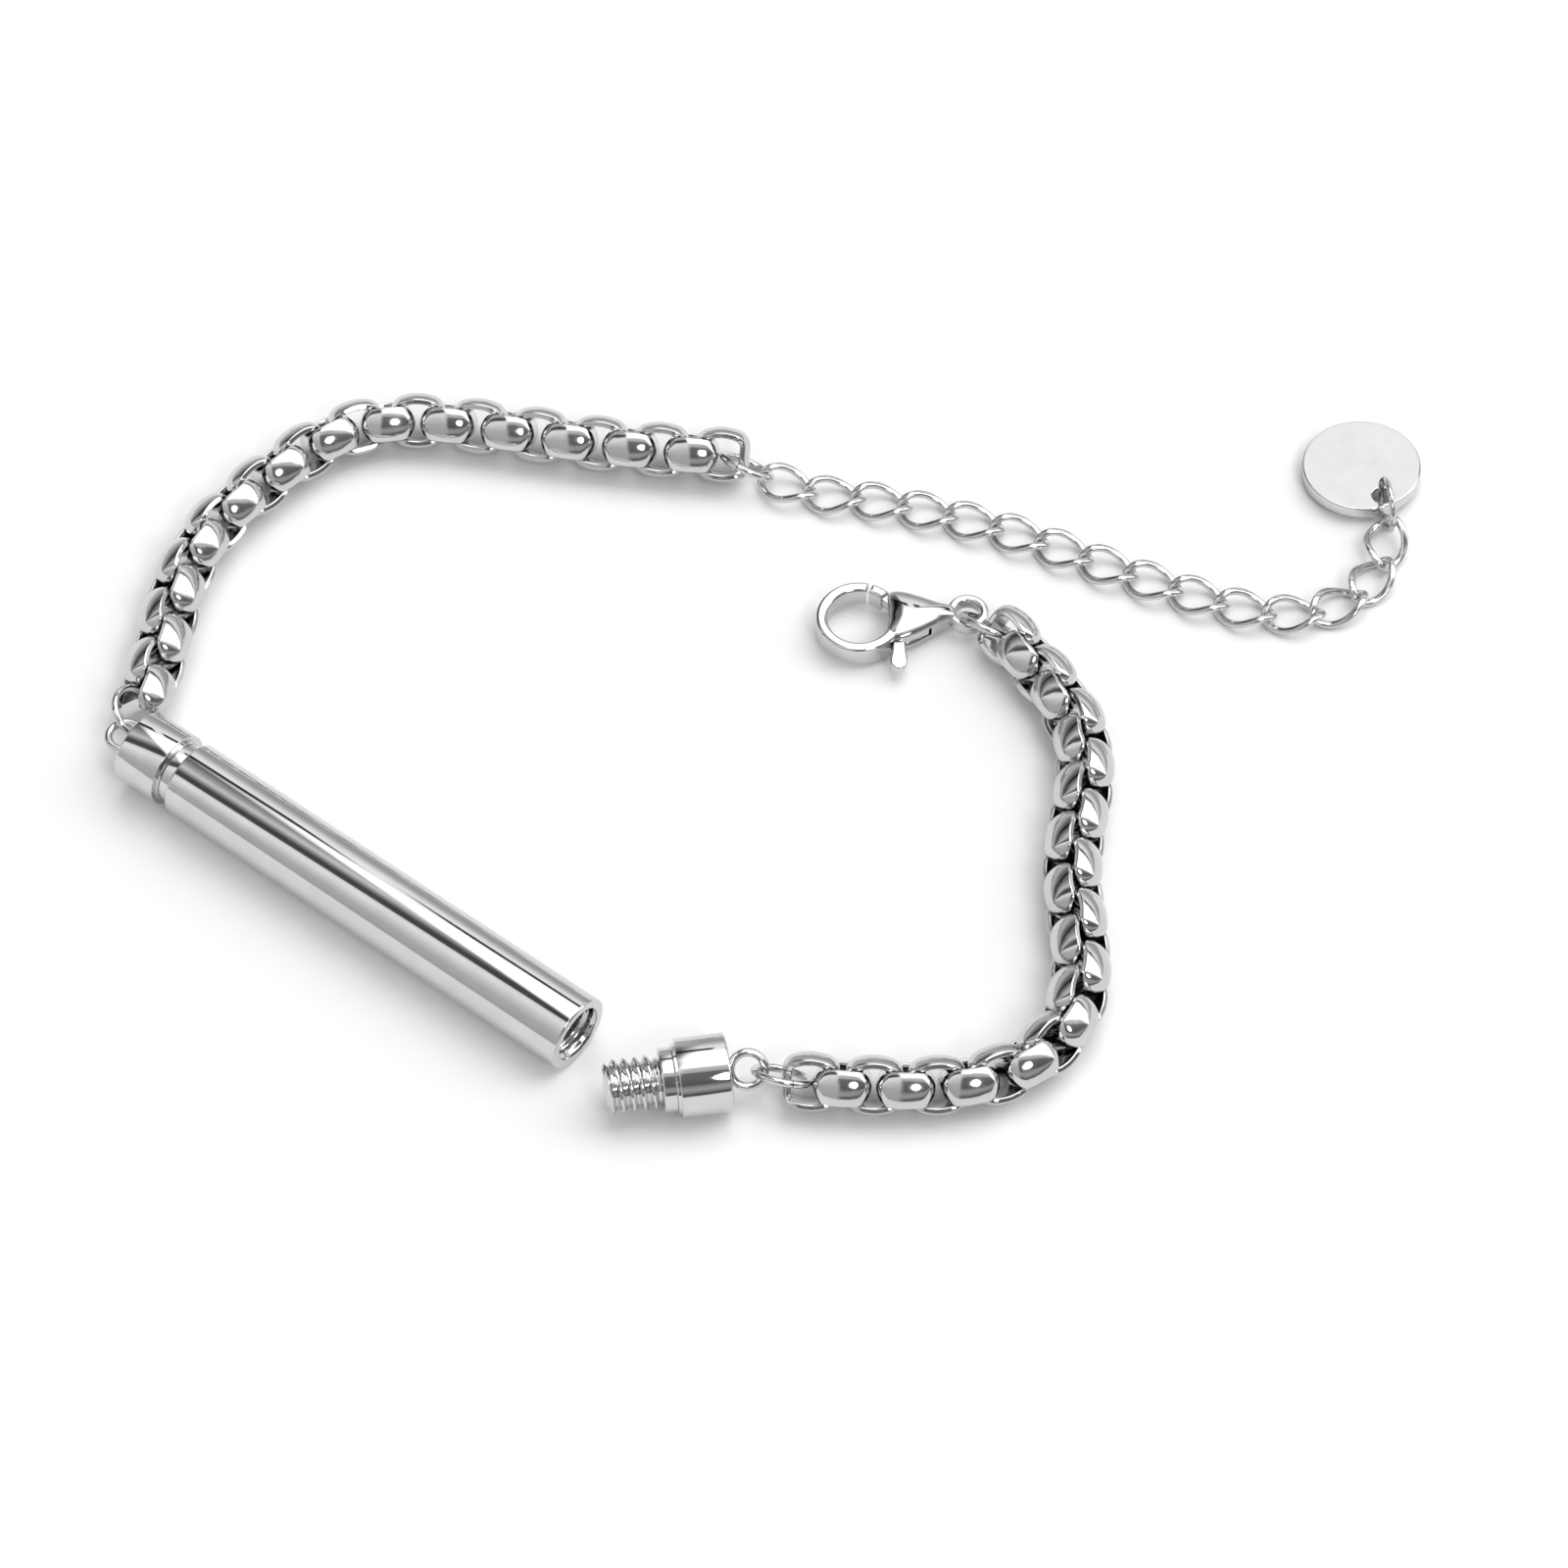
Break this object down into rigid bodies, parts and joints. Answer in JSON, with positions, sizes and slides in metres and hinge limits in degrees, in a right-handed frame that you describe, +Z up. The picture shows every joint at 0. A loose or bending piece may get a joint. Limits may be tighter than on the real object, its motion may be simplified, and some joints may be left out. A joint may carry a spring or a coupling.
{
  "type": "screw-cap capsule bracelet",
  "caption": "Steel capsule tube with threaded end caps between two lengths of box chain, with a lobster clasp, a curb extension chain and a blank round tag.",
  "frame": {"origin": "centre of the laid-out bracelet's bounding box, on the surface it lies on", "axes": "+X to the right along the layout's long side, +Y away from the viewer, +Z up"},
  "size_m": [0.1034, 0.068, 0.006],
  "materials": {
    "polished_steel": "mirror-polished stainless steel",
    "chain_steel": "polished stainless steel",
    "ring_steel": "polished stainless steel wire",
    "spring_steel": "plain spring steel"
  },
  "bodies": {
    "capsule_tube": {"capsule_tube": "polished_steel"},
    "left_cap": {"left_cap": "polished_steel"},
    "screw_cap": {"screw_cap": "polished_steel"},
    "left_cap_ring": {"left_cap_ring": "ring_steel"},
    "left_link_01": {"left_link_01": "chain_steel"},
    "left_links_02_03": {"left_links_02_03": "chain_steel"},
    "left_links_04_05": {"left_links_04_05": "chain_steel"},
    "left_links_06_07": {"left_links_06_07": "chain_steel"},
    "left_links_08_09": {"left_links_08_09": "chain_steel"},
    "left_links_10_11": {"left_links_10_11": "chain_steel"},
    "left_links_12_13": {"left_links_12_13": "chain_steel"},
    "left_links_14_15": {"left_links_14_15": "chain_steel"},
    "left_links_16_17": {"left_links_16_17": "chain_steel"},
    "left_links_18_19": {"left_links_18_19": "chain_steel"},
    "left_links_20_21": {"left_links_20_21": "chain_steel"},
    "left_links_22_23": {"left_links_22_23": "chain_steel"},
    "left_links_24_25": {"left_links_24_25": "chain_steel"},
    "left_link_26": {"left_link_26": "chain_steel"},
    "right_cap_ring": {"right_cap_ring": "ring_steel"},
    "right_link_01": {"right_link_01": "chain_steel"},
    "right_links_02_03": {"right_links_02_03": "chain_steel"},
    "right_links_04_05": {"right_links_04_05": "chain_steel"},
    "right_links_06_07": {"right_links_06_07": "chain_steel"},
    "right_links_08_09": {"right_links_08_09": "chain_steel"},
    "right_links_10_11": {"right_links_10_11": "chain_steel"},
    "right_links_12_13": {"right_links_12_13": "chain_steel"},
    "right_links_14_15": {"right_links_14_15": "chain_steel"},
    "right_links_16_17": {"right_links_16_17": "chain_steel"},
    "right_links_18_19": {"right_links_18_19": "chain_steel"},
    "right_links_20_21": {"right_links_20_21": "chain_steel"},
    "right_links_22_23": {"right_links_22_23": "chain_steel"},
    "right_links_24_25": {"right_links_24_25": "chain_steel"},
    "right_link_26": {"right_link_26": "chain_steel"},
    "connector_ring": {"connector_ring": "ring_steel"},
    "extension_link_01": {"extension_link_01": "ring_steel"},
    "extension_link_02": {"extension_link_02": "ring_steel"},
    "extension_link_03": {"extension_link_03": "ring_steel"},
    "extension_link_04": {"extension_link_04": "ring_steel"},
    "extension_link_05": {"extension_link_05": "ring_steel"},
    "extension_link_06": {"extension_link_06": "ring_steel"},
    "extension_link_07": {"extension_link_07": "ring_steel"},
    "extension_link_08": {"extension_link_08": "ring_steel"},
    "extension_link_09": {"extension_link_09": "ring_steel"},
    "extension_link_10": {"extension_link_10": "ring_steel"},
    "extension_link_11": {"extension_link_11": "ring_steel"},
    "extension_link_12": {"extension_link_12": "ring_steel"},
    "extension_link_13": {"extension_link_13": "ring_steel"},
    "extension_link_14": {"extension_link_14": "ring_steel"},
    "extension_link_15": {"extension_link_15": "ring_steel"},
    "tag_ring": {"tag_ring": "ring_steel"},
    "tag": {"tag": "polished_steel"},
    "clasp_ring": {"clasp_ring": "ring_steel"},
    "clasp": {"clasp_body": "polished_steel", "clasp_pin": "spring_steel", "clasp_spring": "spring_steel"},
    "lever": {"clasp_lever": "polished_steel"}
  },
  "joints": [
    {"name": "gate_lever", "type": "hinge", "parent": "clasp", "child": "lever", "pos_m": [0.01014, 0.0138, 0.0014], "axis": [0, 0, 1], "range_deg": [0, 22], "stiffness_Nm_per_rad": 0.0005},
    {"name": "screw_cap_swing", "type": "hinge", "parent": "capsule_tube", "child": "screw_cap", "pos_m": [-0.00912, -0.03135, 0.003], "axis": [0, 0, 1], "range_deg": [-46.5, 0]},
    {"name": "left_cap_turn", "type": "hinge", "parent": "capsule_tube", "child": "left_cap", "pos_m": [-0.04896, -0.00078, 0.003], "axis": [0.7934, -0.6088, 0], "continuous": true},
    {"name": "tag_hinge", "type": "hinge", "parent": "tag_ring", "child": "tag", "pos_m": [0.04858, 0.02368, 0.00225], "axis": [0, 0, 1], "range_deg": [-15, 15]},
    {"name": "tag_ring_hinge", "type": "hinge", "parent": "extension_link_15", "child": "tag_ring", "pos_m": [0.04875, 0.02259, 0.00135], "axis": [0, 0, 1], "range_deg": [-30, 3]},
    {"name": "clasp_hinge", "type": "hinge", "parent": "clasp_ring", "child": "clasp", "pos_m": [0.01521, 0.01291, 0.0014], "axis": [0, 0, 1], "range_deg": [-45, 45]},
    {"name": "clasp_ring_hinge", "type": "hinge", "parent": "right_link_26", "child": "clasp_ring", "pos_m": [0.01826, 0.01017, 0.00233], "axis": [0, 0, -1], "range_deg": [-24, 6]},
    {"name": "left_cap_ring_hinge", "type": "hinge", "parent": "left_cap", "child": "left_cap_ring", "pos_m": [-0.04999, 0.00057, 0.003], "axis": [0, 0, 1], "range_deg": [-4, 45]},
    {"name": "left_link_01_hinge", "type": "hinge", "parent": "left_cap_ring", "child": "left_link_01", "pos_m": [-0.04917, 0.00345, 0.00233], "axis": [0, 0, -1], "range_deg": [-18, 4]},
    {"name": "right_cap_ring_hinge", "type": "hinge", "parent": "screw_cap", "child": "right_cap_ring", "pos_m": [-0.0015, -0.03028, 0.003], "axis": [0, 0, 1], "range_deg": [-30, 40]},
    {"name": "right_link_01_hinge", "type": "hinge", "parent": "right_cap_ring", "child": "right_link_01", "pos_m": [0.00151, -0.03078, 0.00233], "axis": [0, 0, -1], "range_deg": [-35, 25]},
    {"name": "connector_ring_hinge", "type": "hinge", "parent": "left_link_26", "child": "connector_ring", "pos_m": [-0.00414, 0.02819, 0.00233], "axis": [0, 0, 1], "range_deg": [-11, 13]},
    {"name": "extension_link_01_hinge", "type": "hinge", "parent": "connector_ring", "child": "extension_link_01", "pos_m": [-0.00074, 0.02681, 0.00115], "axis": [0, 0, -1], "range_deg": [-40, 10]},
    {"name": "left_links_02_03_hinge", "type": "hinge", "parent": "left_link_01", "child": "left_links_02_03", "pos_m": [-0.04861, 0.00585, 0.00233], "axis": [0, 0, 1], "range_deg": [-4, 17.11]},
    {"name": "left_links_04_05_hinge", "type": "hinge", "parent": "left_links_02_03", "child": "left_links_04_05", "pos_m": [-0.04768, 0.0107, 0.00233], "axis": [0, 0, -1], "range_deg": [-15.88, 3]},
    {"name": "left_links_06_07_hinge", "type": "hinge", "parent": "left_links_04_05", "child": "left_links_06_07", "pos_m": [-0.04685, 0.01557, 0.00233], "axis": [0, 0, 1], "range_deg": [-3, 23.99]},
    {"name": "left_links_08_09_hinge", "type": "hinge", "parent": "left_links_06_07", "child": "left_links_08_09", "pos_m": [-0.04501, 0.02014, 0.00233], "axis": [0, 0, -1], "range_deg": [-25.09, 3]},
    {"name": "left_links_10_11_hinge", "type": "hinge", "parent": "left_links_08_09", "child": "left_links_10_11", "pos_m": [-0.04211, 0.02413, 0.00233], "axis": [0, 0, 1], "range_deg": [-4, 22.76]},
    {"name": "left_links_12_13_hinge", "type": "hinge", "parent": "left_links_10_11", "child": "left_links_12_13", "pos_m": [-0.03864, 0.02764, 0.00233], "axis": [0, 0, -1], "range_deg": [-22.64, 4]},
    {"name": "left_links_14_15_hinge", "type": "hinge", "parent": "left_links_12_13", "child": "left_links_14_15", "pos_m": [-0.03469, 0.0306, 0.00233], "axis": [0, 0, 1], "range_deg": [-2.63, 33.37]},
    {"name": "left_links_16_17_hinge", "type": "hinge", "parent": "left_links_14_15", "child": "left_links_16_17", "pos_m": [-0.02989, 0.03169, 0.00233], "axis": [0, 0, -1], "range_deg": [-26.86, 5]},
    {"name": "left_links_18_19_hinge", "type": "hinge", "parent": "left_links_16_17", "child": "left_links_18_19", "pos_m": [-0.02498, 0.03131, 0.00233], "axis": [0, 0, 1], "range_deg": [-6, 20.04]},
    {"name": "left_links_20_21_hinge", "type": "hinge", "parent": "left_links_18_19", "child": "left_links_20_21", "pos_m": [-0.02011, 0.03046, 0.00233], "axis": [0, 0, -1], "range_deg": [-17.91, 6]},
    {"name": "left_links_22_23_hinge", "type": "hinge", "parent": "left_links_20_21", "child": "left_links_22_23", "pos_m": [-0.01525, 0.02956, 0.00233], "axis": [0, 0, 1], "range_deg": [-7, 16.52]},
    {"name": "left_links_24_25_hinge", "type": "hinge", "parent": "left_links_22_23", "child": "left_links_24_25", "pos_m": [-0.01036, 0.02885, 0.00233], "axis": [0, 0, -1], "range_deg": [-16.98, 9]},
    {"name": "left_link_26_hinge", "type": "hinge", "parent": "left_links_24_25", "child": "left_link_26", "pos_m": [-0.00545, 0.02831, 0.00233], "axis": [0, 0, 1], "range_deg": [-11, 17.11]},
    {"name": "right_links_02_03_hinge", "type": "hinge", "parent": "right_link_01", "child": "right_links_02_03", "pos_m": [0.00385, -0.03096, 0.00233], "axis": [0, 0, 1], "range_deg": [-18.35, 17.65]},
    {"name": "right_links_04_05_hinge", "type": "hinge", "parent": "right_links_02_03", "child": "right_links_04_05", "pos_m": [0.00855, -0.03123, 0.00233], "axis": [0, 0, -1], "range_deg": [-15.89, 20.11]},
    {"name": "right_links_06_07_hinge", "type": "hinge", "parent": "right_links_04_05", "child": "right_links_06_07", "pos_m": [0.01324, -0.03111, 0.00233], "axis": [0, 0, 1], "range_deg": [-26.31, 9.69]},
    {"name": "right_links_08_09_hinge", "type": "hinge", "parent": "right_links_06_07", "child": "right_links_08_09", "pos_m": [0.01774, -0.02981, 0.00233], "axis": [0, 0, -1], "range_deg": [-3.77, 24]},
    {"name": "right_links_10_11_hinge", "type": "hinge", "parent": "right_links_08_09", "child": "right_links_10_11", "pos_m": [0.02123, -0.0267, 0.00233], "axis": [0, 0, 1], "range_deg": [-18, 4.61]},
    {"name": "right_links_12_13_hinge", "type": "hinge", "parent": "right_links_10_11", "child": "right_links_12_13", "pos_m": [0.02292, -0.02235, 0.00233], "axis": [0, 0, -1], "range_deg": [-7.13, 18]},
    {"name": "right_links_14_15_hinge", "type": "hinge", "parent": "right_links_12_13", "child": "right_links_14_15", "pos_m": [0.02295, -0.01766, 0.00233], "axis": [0, 0, 1], "range_deg": [-20.46, 15.54]},
    {"name": "right_links_16_17_hinge", "type": "hinge", "parent": "right_links_14_15", "child": "right_links_16_17", "pos_m": [0.02258, -0.01297, 0.00233], "axis": [0, 0, -1], "range_deg": [-23.75, 12.25]},
    {"name": "right_links_18_19_hinge", "type": "hinge", "parent": "right_links_16_17", "child": "right_links_18_19", "pos_m": [0.02303, -0.0083, 0.00233], "axis": [0, 0, 1], "range_deg": [-17.39, 18.61]},
    {"name": "right_links_20_21_hinge", "type": "hinge", "parent": "right_links_18_19", "child": "right_links_20_21", "pos_m": [0.02383, -0.00367, 0.00233], "axis": [0, 0, -1], "range_deg": [-9.54, 20]},
    {"name": "right_links_22_23_hinge", "type": "hinge", "parent": "right_links_20_21", "child": "right_links_22_23", "pos_m": [0.02358, 0.00101, 0.00233], "axis": [0, 0, 1], "range_deg": [-22, 5.84]},
    {"name": "right_links_24_25_hinge", "type": "hinge", "parent": "right_links_22_23", "child": "right_links_24_25", "pos_m": [0.02168, 0.00529, 0.00233], "axis": [0, 0, -1], "range_deg": [-12.37, 23.63]},
    {"name": "right_link_26_hinge", "type": "hinge", "parent": "right_links_24_25", "child": "right_link_26", "pos_m": [0.01902, 0.00917, 0.00233], "axis": [0, 0, 1], "range_deg": [-19.75, 16.25]},
    {"name": "extension_link_02_hinge", "type": "hinge", "parent": "extension_link_01", "child": "extension_link_02", "pos_m": [0.00283, 0.02545, 0.00087], "axis": [0, 0, 1], "range_deg": [-17, 27.23]},
    {"name": "extension_link_03_hinge", "type": "hinge", "parent": "extension_link_02", "child": "extension_link_03", "pos_m": [0.00661, 0.02491, 0.00087], "axis": [0, 0, -1], "range_deg": [-44.88, 20]},
    {"name": "extension_link_04_hinge", "type": "hinge", "parent": "extension_link_03", "child": "extension_link_04", "pos_m": [0.01033, 0.02405, 0.00087], "axis": [0, 0, 1], "range_deg": [-25, 42.2]},
    {"name": "extension_link_05_hinge", "type": "hinge", "parent": "extension_link_04", "child": "extension_link_05", "pos_m": [0.01402, 0.02305, 0.00087], "axis": [0, 0, -1], "range_deg": [-42.62, 32]},
    {"name": "extension_link_06_hinge", "type": "hinge", "parent": "extension_link_05", "child": "extension_link_06", "pos_m": [0.01766, 0.02188, 0.00087], "axis": [0, 0, 1], "range_deg": [-35.31, 44.69]},
    {"name": "extension_link_07_hinge", "type": "hinge", "parent": "extension_link_06", "child": "extension_link_07", "pos_m": [0.02118, 0.02042, 0.00087], "axis": [0, 0, -1], "range_deg": [-42.41, 37.59]},
    {"name": "extension_link_08_hinge", "type": "hinge", "parent": "extension_link_07", "child": "extension_link_08", "pos_m": [0.02465, 0.01881, 0.00087], "axis": [0, 0, 1], "range_deg": [-40.47, 39.53]},
    {"name": "extension_link_09_hinge", "type": "hinge", "parent": "extension_link_08", "child": "extension_link_09", "pos_m": [0.02813, 0.01724, 0.00087], "axis": [0, 0, -1], "range_deg": [-38.48, 41.52]},
    {"name": "extension_link_10_hinge", "type": "hinge", "parent": "extension_link_09", "child": "extension_link_10", "pos_m": [0.03165, 0.01575, 0.00087], "axis": [0, 0, 1], "range_deg": [-41.64, 38.36]},
    {"name": "extension_link_11_hinge", "type": "hinge", "parent": "extension_link_10", "child": "extension_link_11", "pos_m": [0.03521, 0.01436, 0.00087], "axis": [0, 0, -1], "range_deg": [-34.17, 45.83]},
    {"name": "extension_link_12_hinge", "type": "hinge", "parent": "extension_link_11", "child": "extension_link_12", "pos_m": [0.03889, 0.01335, 0.00087], "axis": [0, 0, 1], "range_deg": [-57.02, 22.98]},
    {"name": "extension_link_13_hinge", "type": "hinge", "parent": "extension_link_12", "child": "extension_link_13", "pos_m": [0.04271, 0.01345, 0.00087], "axis": [0, 0, -1], "range_deg": [-13.78, 66.22]},
    {"name": "extension_link_14_hinge", "type": "hinge", "parent": "extension_link_13", "child": "extension_link_14", "pos_m": [0.04609, 0.01523, 0.00087], "axis": [0, 0, 1], "range_deg": [-68.79, 11.21]},
    {"name": "extension_link_15_hinge", "type": "hinge", "parent": "extension_link_14", "child": "extension_link_15", "pos_m": [0.04819, 0.01842, 0.00087], "axis": [0, 0, -1], "range_deg": [-14.28, 65.72]}
  ]
}
